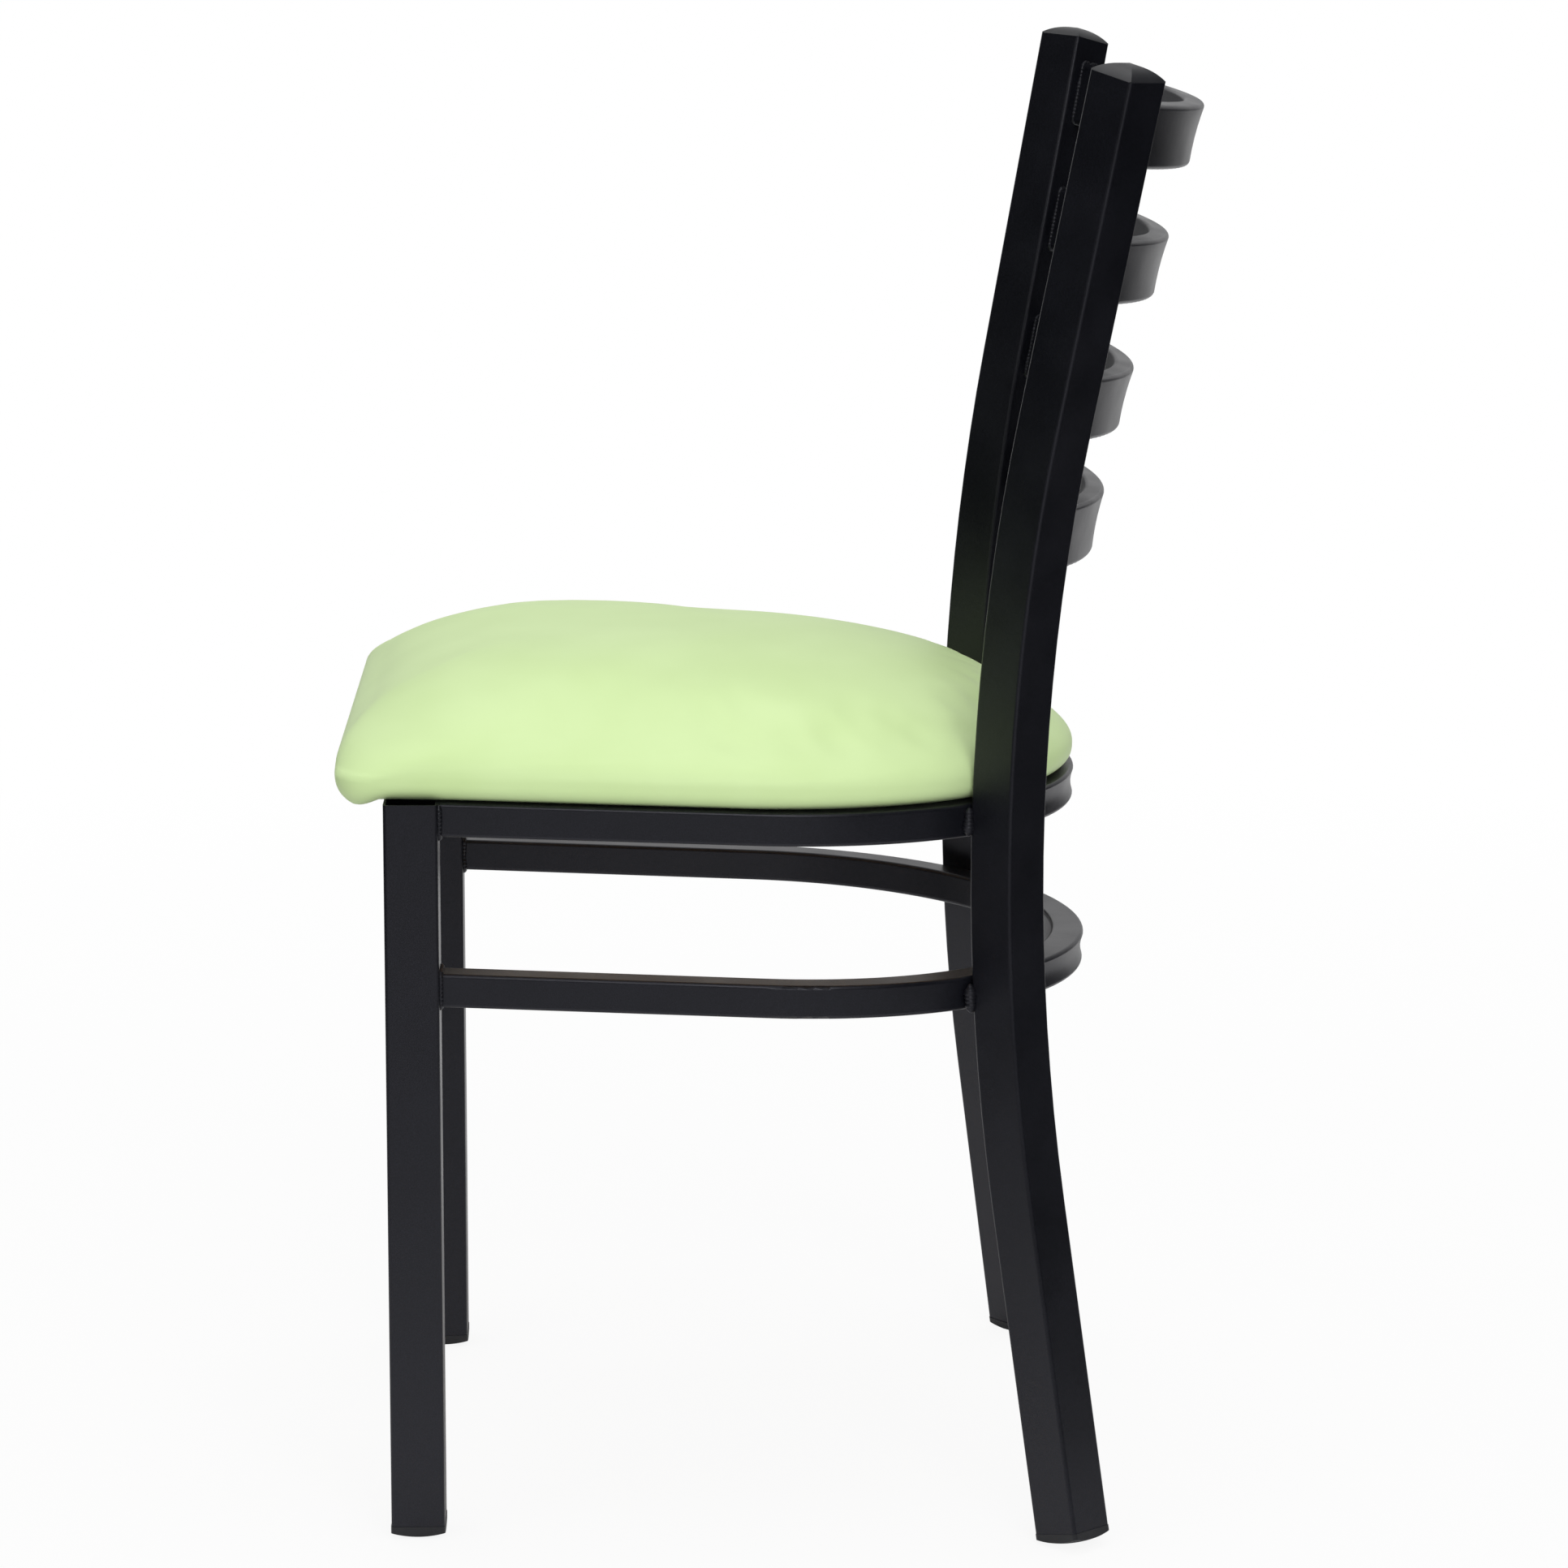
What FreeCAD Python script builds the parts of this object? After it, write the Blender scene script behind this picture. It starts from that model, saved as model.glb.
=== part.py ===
import FreeCAD, Part
import math
import os

from FreeCAD import Placement, Rotation, Vector

# Ladderback dining chair with a welded square-tube frame and an upholstered seat.
# Millimetres. +Z is up, -Y is the front of the chair and +X is the sitter's left.
# The frame is laid out from the front face of the front legs, and the finished
# chair is moved so that the origin lies on the floor, under the middle of its outline.

os.makedirs("parts", exist_ok=True)

# Tubing
post_tube = 31.75          # square tube of the back posts and front legs
post_wall = 1.5
post_corner = 2.2          # outside corner radius of that tube
rail_tube = 20.0           # square tube of the seat hoop, stretcher and front rail
rail_wall = 1.2
rail_corner = 2.2
slat_depth = 12.7          # flat tube of the back slats, front to rear
slat_height = 38.1
slat_wall = 1.2
slat_corner = 2.6

# Front legs
leg_spacing = 383.0        # between the centres of the two front legs
front_glide_lip = 4.0      # plastic rim that shows below a tube end
rear_glide_lip = 3.2
glide_dome = 4.3           # depth of the rounded sole below that rim
sole_flat = 0.3            # worn flat at the bottom of the sole

# Back posts: straight foot, one long bend, straight back
post_bend_radius = 1056.0
foot_splay = 10.72         # degrees, foot leaning out and to the rear
back_rake = 14.72          # degrees, back leaning out and to the rear
post_lean = 3.35           # degrees, each post leaning in towards the other
post_turn = 45.0           # degrees that the tube is turned about the vertical
bend_middle = Vector(156.4, 366.4, 431.2)
post_top_height = 865.0    # centre of the sawn tube end
cap_dome = 7.0
spigot_length = 14.0
insert_clearance = 0.25    # around caps and glides inside their tube

# Seat hoop, stretcher hoop and front rail
seat_plane_height = 446.0  # top of the seat hoop at the rear face of the front legs
seat_slope = 1.9           # degrees down to the rear
stretcher_height = 344.2   # top of the stretcher hoop at the same place
stretcher_slope = 2.2
hoop_post_gap = 0.1
bend_dent = 1.4            # how far the outer wall sinks in round the back of a hoop
dent_start = 49.0          # degrees round the bend, just behind the posts

# Back slats, counted from the top: how far each lies below the top of the posts
slat_drops = [32.2, 111.3, 191.8, 269.8]
slat_bow_radius = 357.0
slat_lean = 3.7            # degrees that its section leans back beyond the posts
slat_dent = 0.8            # how far the rear wall of a bowed slat sinks in

# Seat
seat_side_inset = 2.9      # from the outer faces of the front legs
seat_front_overhang = 29.0
seat_corner = 26.0
seat_post_clearance = 1.2
seat_roll_height = 13.0    # from the bottom of the seat to its widest line
seat_roll_depth = 11.0     # how far the bottom is drawn in below that line
seat_crown = 77.0          # from the bottom of the seat to its top
seat_crown_fall = 6.0      # how much lower the crown lies at the rear than at its middle
seat_middle = 230.0        # the point that the dome closes in on, behind the legs' face
dome_power = 2.06
roll_steps = [0.0, 30.0, 60.0]                       # degrees up the rolled lower edge
dome_steps = [0.0, 14.0, 28.0, 42.0, 55.0, 68.0, 80.0]  # degrees over the dome
cover_thickness = 1.0
cover_flap = 24.0          # vinyl turned in under the board
board_thickness = 12.0
board_inset = 12.0
soft_gap = 0.3             # under the seat, and between cover, foam and board

# Seat fastening
tab_width = 30.0
tab_length = 26.0
tab_thickness = 2.5
tab_gap = 0.1              # between a tab and the tube it is welded to
tab_spacing = 220.0        # between the two tabs of the front rail
rear_tab_angle = 60.0      # degrees round the hoop to each rear tab
screw_diameter = 6.0
screw_head = 12.0
screw_head_height = 3.6
washer_diameter = 15.0
washer_thickness = 1.2
tee_flange = 19.0
tee_flange_thickness = 1.2
tee_barrel = 8.0
tee_barrel_length = 9.0
hole_clearance = 0.2

AXIS_X = Vector(1, 0, 0)
AXIS_Y = Vector(0, 1, 0)
AXIS_Z = Vector(0, 0, 1)


def rounded_rectangle(width, depth, radius, dent=0.0):
    """Wire in the XY plane, centred, with rounded corners. The +X side sinks in by dent."""
    x = width / 2
    y = depth / 2
    r = radius
    bulge = r * (1 - math.sqrt(0.5))
    right = Part.LineSegment(Vector(x, -y + r, 0), Vector(x, y - r, 0))
    if dent:
        right = Part.Arc(Vector(x, -y + r, 0), Vector(x - dent, 0, 0), Vector(x, y - r, 0))
    edges = [
        Part.LineSegment(Vector(-x + r, -y, 0), Vector(x - r, -y, 0)),
        Part.Arc(Vector(x - r, -y, 0), Vector(x - bulge, -y + bulge, 0), Vector(x, -y + r, 0)),
        right,
        Part.Arc(Vector(x, y - r, 0), Vector(x - bulge, y - bulge, 0), Vector(x - r, y, 0)),
        Part.LineSegment(Vector(x - r, y, 0), Vector(-x + r, y, 0)),
        Part.Arc(Vector(-x + r, y, 0), Vector(-x + bulge, y - bulge, 0), Vector(-x, y - r, 0)),
        Part.LineSegment(Vector(-x, y - r, 0), Vector(-x, -y + r, 0)),
        Part.Arc(Vector(-x, -y + r, 0), Vector(-x + bulge, -y + bulge, 0), Vector(-x + r, -y, 0)),
    ]
    return Part.Wire([edge.toShape() for edge in edges])


def tube_section(width, depth, radius, wall, dent=0.0):
    """Face of a rectangular tube in the XY plane."""
    inner_radius = max(radius - wall, 0.4)
    outer = Part.Face(rounded_rectangle(width, depth, radius, dent))
    inner = Part.Face(
        rounded_rectangle(width - 2 * wall, depth - 2 * wall, inner_radius, dent)
    )
    return outer.cut(inner).Faces[0]


def largest(shape):
    """The biggest solid of a shape that a cut may have left in several pieces."""
    return max(shape.Solids, key=lambda solid: solid.Volume)


def step_along(place, step):
    """Placement reached after one step: ('run', length) or ('bend', radius, degrees)."""
    if step[0] == "run":
        return place.multiply(Placement(Vector(0, 0, step[1]), Rotation()))
    radius, degrees = step[1], step[2]
    turn = Rotation(AXIS_Y, degrees)
    centre = Vector(radius, 0, 0)
    return place.multiply(Placement(centre - turn.multVec(centre), turn))


def sweep_steps(steps, sections):
    """Solid carried along runs and bends from the origin up +Z. Bends turn towards +X."""
    place = Placement()
    pieces = []
    for step, section in zip(steps, sections):
        face = section.copy()
        face.Placement = place.multiply(section.Placement)
        if step[0] == "run":
            pieces.append(face.extrude(place.Rotation.multVec(Vector(0, 0, step[1]))))
        else:
            centre = place.multVec(Vector(step[1], 0, 0))
            pieces.append(face.revolve(centre, place.Rotation.multVec(AXIS_Y), step[2]))
        place = step_along(place, step)
    return largest(pieces[0].fuse(pieces[1:]))


def mirrored(shape):
    """The same piece on the other side of the chair."""
    return shape.mirror(Vector(0, 0, 0), AXIS_X)


def box(x0, x1, y0, y1, z0, z1):
    return Part.makeBox(x1 - x0, y1 - y0, z1 - z0, Vector(x0, y0, z0))


# Back posts
bend_angle = foot_splay + back_rake
post_pose = Placement(
    bend_middle,
    Rotation(AXIS_Y, -post_lean) * Rotation(AXIS_Z, post_turn),
)
middle_tilt = (back_rake - foot_splay) / 2
middle_place = post_pose.multiply(Placement(Vector(), Rotation(AXIS_Y, middle_tilt)))
bend_low = step_along(middle_place, ("bend", post_bend_radius, -bend_angle / 2))
bend_high = step_along(middle_place, ("bend", post_bend_radius, bend_angle / 2))


def heading(place):
    return place.Rotation.multVec(AXIS_Z)


sole_radius = (post_tube ** 2 / 2 + glide_dome ** 2) / (2 * glide_dome)


def tube_end_height(upright, lip):
    """Height of a tube end's centre when its glide stands on the floor, for the cosine
    of the tube's tilt: the sole is part of a ball, cut flat where it stands."""
    return upright * (lip + glide_dome - sole_radius) + sole_radius - sole_flat


foot_height = tube_end_height(heading(bend_low).z, rear_glide_lip)
foot_run = (bend_low.Base.z - foot_height) / heading(bend_low).z
back_run = (post_top_height - bend_high.Base.z) / heading(bend_high).z
foot_place = step_along(bend_low, ("run", -foot_run))
top_place = step_along(bend_high, ("run", back_run))


def post_place_at(height):
    """Placement on the centre line of the left post at a height above the floor."""
    if height > bend_high.Base.z:
        run = (height - bend_high.Base.z) / heading(bend_high).z
        return step_along(bend_high, ("run", run))
    low, high = 0.0, bend_angle
    for _ in range(40):
        angle = (low + high) / 2
        place = step_along(bend_low, ("bend", post_bend_radius, angle))
        if place.Base.z < height:
            low = angle
        else:
            high = angle
    return place


def back_post():
    section = tube_section(post_tube, post_tube, post_corner, post_wall)
    steps = [("run", foot_run), ("bend", post_bend_radius, bend_angle), ("run", back_run)]
    post = sweep_steps(steps, [section] * 3)
    post.Placement = foot_place
    return post


# Front legs
leg_x = leg_spacing / 2
leg_y = post_tube / 2
leg_foot_height = tube_end_height(1.0, front_glide_lip)


def seat_plane(y):
    """Height of the top of the seat hoop at a distance behind the legs' front face."""
    return seat_plane_height - (y - post_tube) * math.tan(math.radians(seat_slope))


def front_leg():
    section = tube_section(post_tube, post_tube, post_corner, post_wall)
    section.translate(Vector(leg_x, leg_y, leg_foot_height))
    return section.extrude(Vector(0, 0, seat_plane_height - leg_foot_height))


# Caps and glides, drawn with the tube end in the XY plane and +Z pointing out of it
insert_size = post_tube - 2 * post_wall - 2 * insert_clearance


def spigot(length):
    """Ribbed plug inside the tube end: a hollow square core with three gripping fins."""
    core_size = insert_size - 4.0
    core = Part.Face(rounded_rectangle(core_size, core_size, 1.5))
    plug = core.extrude(Vector(0, 0, -length))
    fin = Part.Face(rounded_rectangle(insert_size, insert_size, 1.2))
    for number in range(3):
        ring = fin.extrude(Vector(0, 0, -1.4))
        ring.translate(Vector(0, 0, -2.0 - number * (length - 5.0) / 2))
        plug = plug.fuse(ring)
    bore_size = core_size - 4.0
    bore = Part.Face(rounded_rectangle(bore_size, bore_size, 1.0))
    hollow = bore.extrude(Vector(0, 0, -length))
    return plug.cut(hollow)


def vault(size, height, length):
    """Long bar with a segment of a circle as its section, its flat side on the XY plane."""
    arc = Part.Arc(Vector(-size / 2, 0, 0), Vector(0, 0, height), Vector(size / 2, 0, 0))
    base = Part.LineSegment(Vector(size / 2, 0, 0), Vector(-size / 2, 0, 0))
    face = Part.Face(Part.Wire([arc.toShape(), base.toShape()]))
    face.translate(Vector(0, -length / 2, 0))
    return face.extrude(Vector(0, length, 0))


def post_cap():
    """Four curved facets rise from straight edges and meet on the diagonals."""
    along = vault(post_tube + 0.01, cap_dome, 2 * post_tube)
    across = along.copy()
    across.rotate(Vector(), AXIS_Z, 90)
    outline = Part.Face(rounded_rectangle(post_tube, post_tube, post_corner))
    column = outline.extrude(Vector(0, 0, cap_dome + 1))
    dome = along.common(across).common(column)
    return largest(dome.fuse(spigot(spigot_length)).removeSplitter())


def glide(place, rim):
    """Rim, rounded sole and plug of a plastic glide at a tube end that points down."""
    lip = Part.Face(rounded_rectangle(post_tube + 0.6, post_tube + 0.6, post_corner + 0.3))
    block = lip.extrude(Vector(0, 0, rim + glide_dome))
    ball = Part.makeSphere(sole_radius, Vector(0, 0, rim + glide_dome - sole_radius))
    foot = block.common(ball).fuse(spigot(spigot_length))
    foot = foot.removeSplitter()
    foot.Placement = place.multiply(Placement(Vector(), Rotation(AXIS_X, 180)))
    reach = 2 * post_top_height
    below_floor = box(-reach, reach, -reach, reach, -reach, 0)
    return largest(foot.cut(below_floor))


# Hoops and front rail
hoop_radius = leg_spacing / 2


def hoop_middle(top_height, slope):
    """Distance back to the centre of a hoop's bend, where the hoop meets both posts."""
    diagonal = math.sqrt(0.5)
    fall = (bend_middle.y - post_tube) * math.tan(math.radians(slope))
    place = post_place_at(top_height - fall - rail_tube / 2)
    along = heading(place)
    tilt = abs((along.x + along.y) * diagonal / along.z)
    reach = hoop_radius + rail_tube / 2 + post_tube / 2 + hoop_post_gap + tilt * rail_tube / 2
    return place.Base.x + place.Base.y - reach / diagonal


def hoop(top_height, slope):
    """U of square tube from the rear face of one front leg round to the other, with its
    top face in a plane that falls to the rear."""
    middle = hoop_middle(top_height, slope)
    spare = 2.0
    run = (middle - post_tube) + spare
    plain = tube_section(rail_tube, rail_tube, rail_corner, rail_wall)
    dented = tube_section(rail_tube, rail_tube, rail_corner, rail_wall, bend_dent)
    dented.rotate(Vector(), AXIS_Z, 180)
    steps = [
        ("run", run),
        ("bend", hoop_radius, dent_start),
        ("bend", hoop_radius, 180 - 2 * dent_start),
        ("bend", hoop_radius, dent_start),
        ("run", run),
    ]
    shape = sweep_steps(steps, [plain, plain, dented, plain, plain])
    # The sweep starts up +Z and bends towards +X. It is laid flat so that it starts at
    # the left leg, runs to the rear and bends towards the right leg.
    lay = Rotation(Vector(-1, 0, 0), Vector(0, 0, 1), Vector(0, 1, 0), "ZXY")
    shape.Placement = Placement(Vector(hoop_radius, -spare, -rail_tube / 2), lay)
    shape.rotate(Vector(), AXIS_X, -slope)
    shape.translate(Vector(0, post_tube, top_height))
    ahead_of_legs = box(-leg_spacing, leg_spacing, -leg_spacing, post_tube, 0, 2 * top_height)
    return largest(shape.cut(ahead_of_legs))


rail_y = leg_y
rail_rear = rail_y + rail_tube / 2
rail_top = seat_plane(rail_rear)


def front_rail():
    section = tube_section(rail_tube, rail_tube, rail_corner, rail_wall)
    section.rotate(Vector(), AXIS_Y, 90)
    half = leg_x - post_tube / 2
    section.translate(Vector(-half, rail_y, rail_top - rail_tube / 2))
    return section.extrude(Vector(2 * half, 0, 0))


# Back slats
def back_slat(height):
    """Flat tube bowed to the rear and cut to the posts' inner faces."""
    place = post_place_at(height)
    rake = math.degrees(math.atan2(heading(place).y, heading(place).z))
    half_diagonal = post_tube / 2 * math.sqrt(0.5)
    end_x = place.Base.x - half_diagonal
    rise = slat_bow_radius - math.sqrt(slat_bow_radius ** 2 - end_x ** 2)
    apex = half_diagonal + rise
    spread = math.degrees(math.asin(end_x / slat_bow_radius)) + 4.0
    section = tube_section(slat_depth, slat_height, slat_corner, slat_wall, slat_dent)
    section.rotate(Vector(), AXIS_X, 90)
    section.rotate(Vector(), AXIS_Y, slat_lean)
    section.translate(Vector(slat_bow_radius, 0, 0))
    section.rotate(Vector(), AXIS_Z, 90 - spread)
    slat = section.revolve(Vector(), AXIS_Z, 2 * spread)
    slat.translate(Vector(0, apex - slat_bow_radius, 0))
    slat.rotate(Vector(), AXIS_X, -rake)
    slat.translate(Vector(0, place.Base.y, height))
    reach = 2 * post_top_height
    beyond_post = box(-reach, reach, -reach, post_tube / 2, -reach, reach)
    beyond_post.Placement = post_pose
    return largest(slat.cut([beyond_post, mirrored(beyond_post)]))


# Seat
hoop_depth = hoop_middle(seat_plane_height, seat_slope)
post_face = hoop_radius + rail_tube / 2 + hoop_post_gap
seat_half_width = leg_x + post_tube / 2 - seat_side_inset


def seat_outline(inset, height):
    """Closed outline of the seat, moved in by inset. A round back, as deep as the posts
    allow, runs into longer arcs that meet the straight sides."""
    diagonal = math.sqrt(0.5)
    back = post_face - seat_post_clearance - inset
    half = seat_half_width - inset
    front = -seat_front_overhang + inset
    corner = max(seat_corner - inset, 1.0)
    bulge = corner * (1 - diagonal)
    side_radius = (half - back * diagonal) / (1 - diagonal)
    side_end = hoop_depth + (back - side_radius) * diagonal
    eighth = math.radians(22.5)
    side_middle = Vector(
        half - side_radius * (1 - math.cos(eighth)),
        side_end + side_radius * math.sin(eighth),
        height,
    )
    turn = Vector(back * diagonal, hoop_depth + back * diagonal, height)

    def flipped(point):
        return Vector(-point.x, point.y, point.z)

    corner_front = Vector(half - corner, front, height)
    corner_middle = Vector(half - bulge, front + bulge, height)
    corner_side = Vector(half, front + corner, height)
    side_top = Vector(half, side_end, height)
    edges = [
        Part.Arc(corner_front, corner_middle, corner_side),
        Part.LineSegment(corner_side, side_top),
        Part.Arc(side_top, side_middle, turn),
        Part.Arc(turn, Vector(0, hoop_depth + back, height), flipped(turn)),
        Part.Arc(flipped(turn), flipped(side_middle), flipped(side_top)),
        Part.LineSegment(flipped(side_top), flipped(corner_side)),
        Part.Arc(flipped(corner_side), flipped(corner_middle), flipped(corner_front)),
        Part.LineSegment(flipped(corner_front), corner_front),
    ]
    return Part.Wire([edge.toShape() for edge in edges])


def tilted(shape, lift=0.0):
    """Lays a shape drawn over the XY plane onto the sloping seat plane."""
    shape.rotate(Vector(0, post_tube, 0), AXIS_X, -seat_slope)
    shape.translate(Vector(0, 0, seat_plane_height + lift))
    return shape


def crowned(inset):
    """Crowned pad with a rolled lower edge, drawn in by inset all over. The roll is a quarter
    of an ellipse, and each level of the dome is the outline shrunk towards its middle."""
    wires = []
    for degrees in roll_steps:
        angle = math.radians(degrees)
        draw = inset + seat_roll_depth * (1 - math.sin(angle))
        rise = (seat_roll_height - inset) * (1 - math.cos(angle))
        wires.append(seat_outline(draw, inset + rise))
    for degrees in dome_steps:
        share = math.cos(math.radians(degrees))
        crown = math.sqrt(1 - share ** dome_power)
        rise = (seat_crown - inset - seat_roll_height) * crown
        wire = seat_outline(inset, 0.0)
        wire.scale(share, Vector(0, seat_middle, 0))
        wire.translate(Vector(0, 0, seat_roll_height + rise))
        fall = math.degrees(math.atan(crown * seat_crown_fall / post_face))
        wire.rotate(Vector(0, hoop_depth, seat_roll_height + rise), AXIS_X, -fall)
        wires.append(wire)
    return largest(Part.makeLoft(wires, True, False, False, 2))


def flat_plate(inset, low, high):
    face = Part.Face(seat_outline(inset, low))
    return face.extrude(Vector(0, 0, high - low))


def screw_points():
    """Places of the four seat screws on the seat plane, as drawn flat."""
    front_y = rail_rear + tab_gap + tab_length / 2
    turn = math.radians(rear_tab_angle)
    reach = hoop_radius - rail_tube / 2 - tab_length / 2
    rear_x = reach * math.cos(turn)
    rear_y = hoop_depth + reach * math.sin(turn)
    return [
        (tab_spacing / 2, front_y, 0.0),
        (-tab_spacing / 2, front_y, 0.0),
        (rear_x, rear_y, rear_tab_angle + 90),
        (-rear_x, rear_y, 270 - rear_tab_angle),
    ]


def seat_cover():
    """Vinyl over the crown and sides, turned in under the board."""
    skin = crowned(0.0)
    inside = crowned(cover_thickness)
    window = flat_plate(cover_flap, -cover_thickness, 2 * cover_thickness)
    return tilted(largest(skin.cut(inside.fuse(window))), soft_gap)


def seat_foam():
    """Foam over the board and down past its edge."""
    inset = cover_thickness + soft_gap
    board_room = flat_plate(
        board_inset - soft_gap, 0.0, cover_thickness + board_thickness + soft_gap
    )
    pad = crowned(inset).cut(board_room)
    for x, y, turn in screw_points():
        recess = Part.makeCylinder(
            tee_flange / 2 + soft_gap,
            tee_flange_thickness + 2 * soft_gap,
            Vector(x, y, cover_thickness + board_thickness),
        )
        pad = pad.cut(recess)
    return tilted(largest(pad), soft_gap)


def seat_board():
    board = flat_plate(board_inset, cover_thickness, cover_thickness + board_thickness)
    for x, y, turn in screw_points():
        hole = Part.makeCylinder(
            tee_barrel / 2 + hole_clearance, board_thickness, Vector(x, y, cover_thickness)
        )
        board = board.cut(hole)
    return tilted(largest(board), soft_gap)


def seat_tab(x, y, turn):
    """Steel tab welded to the inside of the hoop or rail, with a hole for a screw."""
    plate = Part.Face(rounded_rectangle(tab_width, tab_length, 3.0))
    plate = plate.extrude(Vector(0, 0, -tab_thickness))
    hole = Part.makeCylinder(
        screw_diameter / 2 + 2 * hole_clearance, tab_thickness, Vector(0, 0, -tab_thickness)
    )
    plate = plate.cut(hole)
    plate.rotate(Vector(), AXIS_Z, turn)
    plate.translate(Vector(x, y, 0))
    return tilted(plate)


def cut_to_hoop(tab):
    """Trims a rear tab to the round inner wall of the hoop."""
    reach = hoop_radius - rail_tube / 2 - tab_gap
    wall = Part.makeCylinder(reach, rail_tube, Vector(0, hoop_depth, -rail_tube / 2))
    return largest(tab.common(tilted(wall)))


def at_screws(build):
    """One copy of a small part at each seat screw, as a group of separate solids."""
    return Part.makeCompound([build(x, y) for x, y, turn in screw_points()])


def washer(x, y):
    top = -tab_thickness
    base = Vector(x, y, top - washer_thickness)
    ring = Part.makeCylinder(washer_diameter / 2, washer_thickness, base)
    bore = Part.makeCylinder(screw_diameter / 2 + hole_clearance, washer_thickness, base)
    return tilted(largest(ring.cut(bore)))


def screw(x, y):
    """Pan head screw from below, with a cross recess."""
    head_top = -tab_thickness - washer_thickness
    ball_radius = (screw_head ** 2 / 4 + screw_head_height ** 2) / (2 * screw_head_height)
    centre = Vector(x, y, head_top - screw_head_height + ball_radius)
    head = Part.makeSphere(ball_radius, centre)
    side = screw_head
    head = head.common(box(x - side, x + side, y - side, y + side, head_top - side, head_top))
    low = head_top - screw_head_height
    for size_x, size_y in ((6.0, 1.3), (1.3, 6.0)):
        slot = box(x - size_x / 2, x + size_x / 2, y - size_y / 2, y + size_y / 2, low - 1, low + 1.8)
        head = head.cut(slot)
    shank_length = board_thickness + cover_thickness - head_top - 1.0
    shank = Part.makeCylinder(screw_diameter / 2, shank_length, Vector(x, y, head_top))
    return tilted(largest(head.fuse(shank).removeSplitter()))


def tee_nut(x, y):
    top = cover_thickness + board_thickness
    flange = Part.makeCylinder(tee_flange / 2, tee_flange_thickness, Vector(x, y, top))
    barrel = Part.makeCylinder(tee_barrel / 2, tee_barrel_length, Vector(x, y, top - tee_barrel_length))
    bore = Part.makeCylinder(
        screw_diameter / 2 + hole_clearance / 2,
        tee_barrel_length + tee_flange_thickness,
        Vector(x, y, top - tee_barrel_length),
    )
    return tilted(largest(flange.fuse(barrel).cut(bore).removeSplitter()), soft_gap)


# Assembly
nodes = {}

post = back_post()
cap = post_cap()
cap.Placement = top_place
rear_glide = glide(foot_place, rear_glide_lip)
leg = front_leg()
leg_foot_place = Placement(Vector(leg_x, leg_y, leg_foot_height), Rotation())
front_glide = glide(leg_foot_place, front_glide_lip)
pairs = {
    "back_post": post,
    "post_cap": cap,
    "rear_glide": rear_glide,
    "front_leg": leg,
    "front_glide": front_glide,
}
for name, shape in pairs.items():
    nodes[name + "_left"] = shape
    nodes[name + "_right"] = mirrored(shape)

nodes["seat_hoop"] = hoop(seat_plane_height, seat_slope)
nodes["stretcher_hoop"] = hoop(stretcher_height, stretcher_slope)
nodes["front_rail"] = front_rail()
for number, drop in enumerate(slat_drops, 1):
    nodes["back_slat_%d" % number] = back_slat(post_top_height - drop)

nodes["seat_cover"] = seat_cover()
nodes["seat_foam"] = seat_foam()
nodes["seat_board"] = seat_board()
tab_names = ["seat_tab_front_left", "seat_tab_front_right", "seat_tab_rear_left", "seat_tab_rear_right"]
for name, point in zip(tab_names, screw_points()):
    tab = seat_tab(*point)
    nodes[name] = cut_to_hoop(tab) if "rear" in name else tab
nodes["seat_washers"] = at_screws(washer)
nodes["seat_screws"] = at_screws(screw)
nodes["tee_nuts"] = at_screws(tee_nut)

whole = Part.makeCompound(list(nodes.values())).optimalBoundingBox(False)
origin_shift = Vector(-(whole.XMin + whole.XMax) / 2, -(whole.YMin + whole.YMax) / 2, 0)
print("origin shift", origin_shift)
print("seat hoop centre", hoop_depth)
print("stretcher centre", hoop_middle(stretcher_height, stretcher_slope))
print("outline", whole.XLength, whole.YLength, whole.ZMin, whole.ZMax)

for name, shape in nodes.items():
    shape.translate(origin_shift)
    if not shape.isValid():
        raise ValueError(name + " is not a valid solid")
    shape.exportStep("parts/" + name + ".step")
    print(name, len(shape.Solids), round(shape.Volume))
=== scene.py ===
import math

import bpy
import numpy as np
from mathutils import Matrix, Vector


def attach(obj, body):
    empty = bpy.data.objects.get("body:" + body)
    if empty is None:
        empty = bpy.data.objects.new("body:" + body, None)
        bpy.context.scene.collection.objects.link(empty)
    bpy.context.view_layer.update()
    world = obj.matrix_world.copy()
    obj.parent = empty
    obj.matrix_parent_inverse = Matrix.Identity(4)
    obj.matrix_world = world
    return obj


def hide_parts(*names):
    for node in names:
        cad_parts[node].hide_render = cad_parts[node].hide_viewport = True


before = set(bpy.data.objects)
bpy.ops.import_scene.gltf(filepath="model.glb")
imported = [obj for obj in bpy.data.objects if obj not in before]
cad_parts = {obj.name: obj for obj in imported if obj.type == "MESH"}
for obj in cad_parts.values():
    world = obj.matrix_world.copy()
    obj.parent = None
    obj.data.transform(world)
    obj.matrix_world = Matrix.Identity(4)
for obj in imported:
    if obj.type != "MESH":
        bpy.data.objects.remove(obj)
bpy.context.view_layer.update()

MM = 0.001

# Welded frame: square steel tube, cut, bent and welded, then sprayed with black polyester
# powder and baked. The cured powder is satin, with the fine pebble of melted grains, so a
# face seen square on is near black and one seen at a glance turns grey.


def linear(hex_colour):
    """sRGB hex turned to linear: each channel over 12.92 near black, else a 2.4 power."""
    srgb = np.array([int(hex_colour[i:i + 2], 16) / 255 for i in (1, 3, 5)])
    rgb = np.where(srgb <= 0.04045, srgb / 12.92, ((srgb + 0.055) / 1.055) ** 2.4)
    return (*rgb.tolist(), 1.0)


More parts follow.
